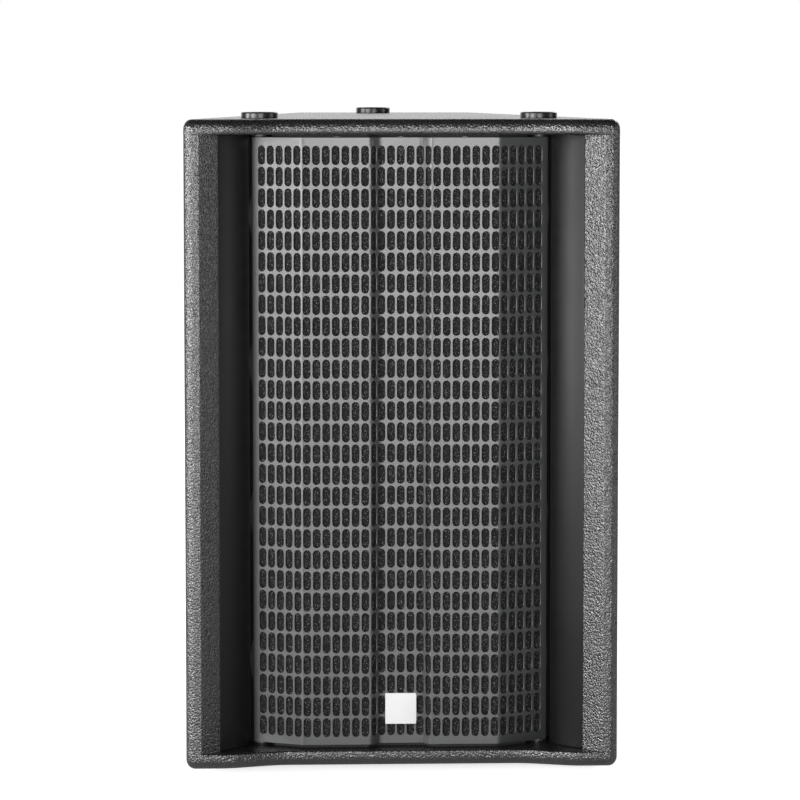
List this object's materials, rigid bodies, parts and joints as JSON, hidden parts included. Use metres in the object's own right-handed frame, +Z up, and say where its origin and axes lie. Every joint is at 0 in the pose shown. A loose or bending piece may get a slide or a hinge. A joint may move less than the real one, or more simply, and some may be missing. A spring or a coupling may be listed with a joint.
{
  "type": "line array speaker",
  "caption": "Upright trapezoid loudspeaker cabinet with a bent slotted steel grille between hollow cheeks, rubber rigging rings, side handles and an amplifier at the back.",
  "frame": {"origin": "on the floor plane under the middle of the bounding box", "axes": "+Z up, front towards -Y, +X to the right as seen from the front"},
  "size_m": [0.42, 0.48, 0.642],
  "materials": {
    "cabinet_paint": "textured black polyurethane paint on birch plywood",
    "baffle_paint": "flat black paint on plywood",
    "plywood": "bare birch plywood",
    "flare_plastic": "smooth black moulding",
    "grille_coat": "semi-gloss dark grey powder coat",
    "foam": "open-cell acoustic foam, dark grey",
    "zinc_steel": "zinc-plated steel",
    "foot_rubber": "black moulded rubber",
    "badge_white": "bare white plate",
    "driver_metal": "black-coated die-cast metal",
    "cone_paper": "black coated paper",
    "black_screws": "black zinc screws",
    "damping_felt": "grey damping felt",
    "handle_coat": "black powder coat",
    "handle_grip": "black grip sleeve",
    "plate_coat": "black powder-coated plate",
    "board_green": "green circuit board",
    "capacitor_sleeve": "blue sleeve",
    "copper_winding": "varnished copper winding",
    "sink_anodised": "black anodised aluminium",
    "connector_plastic": "black connector housing",
    "latch_nickel": "nickel-plated latch",
    "pin_brass": "plated brass pins",
    "rocker_plastic": "black rocker",
    "knob_plastic": "black knob with a white pointer",
    "button_red": "red push button",
    "light_lens": "green light lens"
  },
  "bodies": {
    "cabinet": {"top_panel": "cabinet_paint", "bottom_panel": "cabinet_paint", "side_panel_left": "cabinet_paint", "side_panel_right": "cabinet_paint", "rear_panel": "cabinet_paint", "baffle_board": "baffle_paint", "cross_braces": "plywood", "flare_left": "flare_plastic", "flare_right": "flare_plastic", "grille": "grille_coat", "grille_foam": "foam", "grille_battens": "baffle_paint", "grille_pegs": "zinc_steel", "peg_sockets": "foot_rubber", "badge_plate": "badge_white", "hf_waveguides": "flare_plastic", "hf_drivers": "driver_metal", "mid_baskets": "driver_metal", "mid_surrounds": "foot_rubber", "mid_magnets": "zinc_steel", "driver_screws": "black_screws", "damping_pads": "damping_felt", "rigging_inserts": "zinc_steel", "feet_top": "foot_rubber", "feet_bottom": "foot_rubber", "handle_cups": "handle_coat", "handle_bars": "handle_grip", "handle_screws": "black_screws", "amp_plate": "plate_coat", "amp_chassis": "zinc_steel", "amp_board": "board_green", "amp_standoffs": "zinc_steel", "amp_capacitors": "capacitor_sleeve", "amp_transformer": "copper_winding", "heat_sink": "sink_anodised", "xlr_input": "connector_plastic", "xlr_link": "connector_plastic", "xlr_link_pins": "pin_brass", "mains_inlet": "connector_plastic", "mains_pins": "pin_brass", "switch_frame": "connector_plastic", "gain_pot": "zinc_steel", "button_guide": "connector_plastic", "status_lights": "light_lens", "plate_screws": "black_screws"},
    "left_cones": {"mid_cones_left": "cone_paper"},
    "right_cones": {"mid_cones_right": "cone_paper"},
    "signal_latch": {"xlr_latch": "latch_nickel"},
    "gain_knob": {"gain_knob": "knob_plastic"},
    "power_rocker": {"power_rocker": "rocker_plastic"},
    "preset_button": {"preset_button": "button_red"}
  },
  "joints": [
    {"name": "left_cone_travel", "type": "slide", "parent": "cabinet", "child": "left_cones", "axis": [0, -1, 0], "range_m": [-0.004, 0.004], "stiffness_N_per_m": 6000},
    {"name": "right_cone_travel", "type": "slide", "parent": "cabinet", "child": "right_cones", "axis": [0, -1, 0], "range_m": [-0.004, 0.004], "stiffness_N_per_m": 6000},
    {"name": "latch_press", "type": "slide", "parent": "cabinet", "child": "signal_latch", "axis": [0, -1, 0], "range_m": [0, 0.0015], "stiffness_N_per_m": 800},
    {"name": "gain_turn", "type": "hinge", "parent": "cabinet", "child": "gain_knob", "pos_m": [-0.008, 0.231, 0.449], "axis": [0, -1, 0], "range_deg": [-150, 150]},
    {"name": "power_rock", "type": "hinge", "parent": "cabinet", "child": "power_rocker", "pos_m": [-0.028, 0.231, 0.357], "axis": [0, 0, -1], "range_deg": [0, 16]},
    {"name": "preset_press", "type": "slide", "parent": "cabinet", "child": "preset_button", "axis": [0, -1, 0], "range_m": [0, 0.001], "stiffness_N_per_m": 800}
  ],
  "couplings": [
    {"joint": "right_cone_travel", "follows": "left_cone_travel", "ratio": 1}
  ]
}
